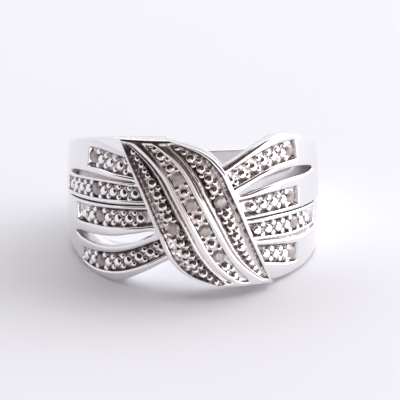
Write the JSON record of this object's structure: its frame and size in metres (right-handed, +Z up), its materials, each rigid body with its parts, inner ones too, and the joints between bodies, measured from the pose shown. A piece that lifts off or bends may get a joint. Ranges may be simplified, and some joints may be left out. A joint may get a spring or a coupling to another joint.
{
  "type": "knot ring",
  "caption": "Wide knot ring: pierced, beaded strands on each side run under a broad diagonal wrap set with small round stones; plain narrow shank at the back.",
  "frame": {"origin": "middle of the ring's footprint, on the surface that it lies on", "axes": "+Z up from the surface; -Y is the ring's front, where the strands cross; +X is its right side seen from the front. The ring lies on its side, so the finger's axis leans 13.85 degrees from +Z towards +Y and 1.1 degrees towards -X"},
  "size_m": [0.0212, 0.0222, 0.0126],
  "materials": {
    "white_metal": "mirror polished rhodium-plated silver",
    "stone": "polished, single cut"
  },
  "bodies": {
    "root": {"ring_body": "white_metal", "centre_stone_1": "stone", "centre_stone_2": "stone", "centre_stone_3": "stone", "centre_stone_4": "stone", "side_stone_left": "stone", "side_stone_right": "stone", "left_stone_1": "stone", "left_stone_2": "stone", "left_stone_3": "stone", "left_stone_4": "stone", "right_stone_1": "stone", "right_stone_2": "stone", "right_stone_3": "stone", "right_stone_4": "stone"}
  },
  "joints": []
}
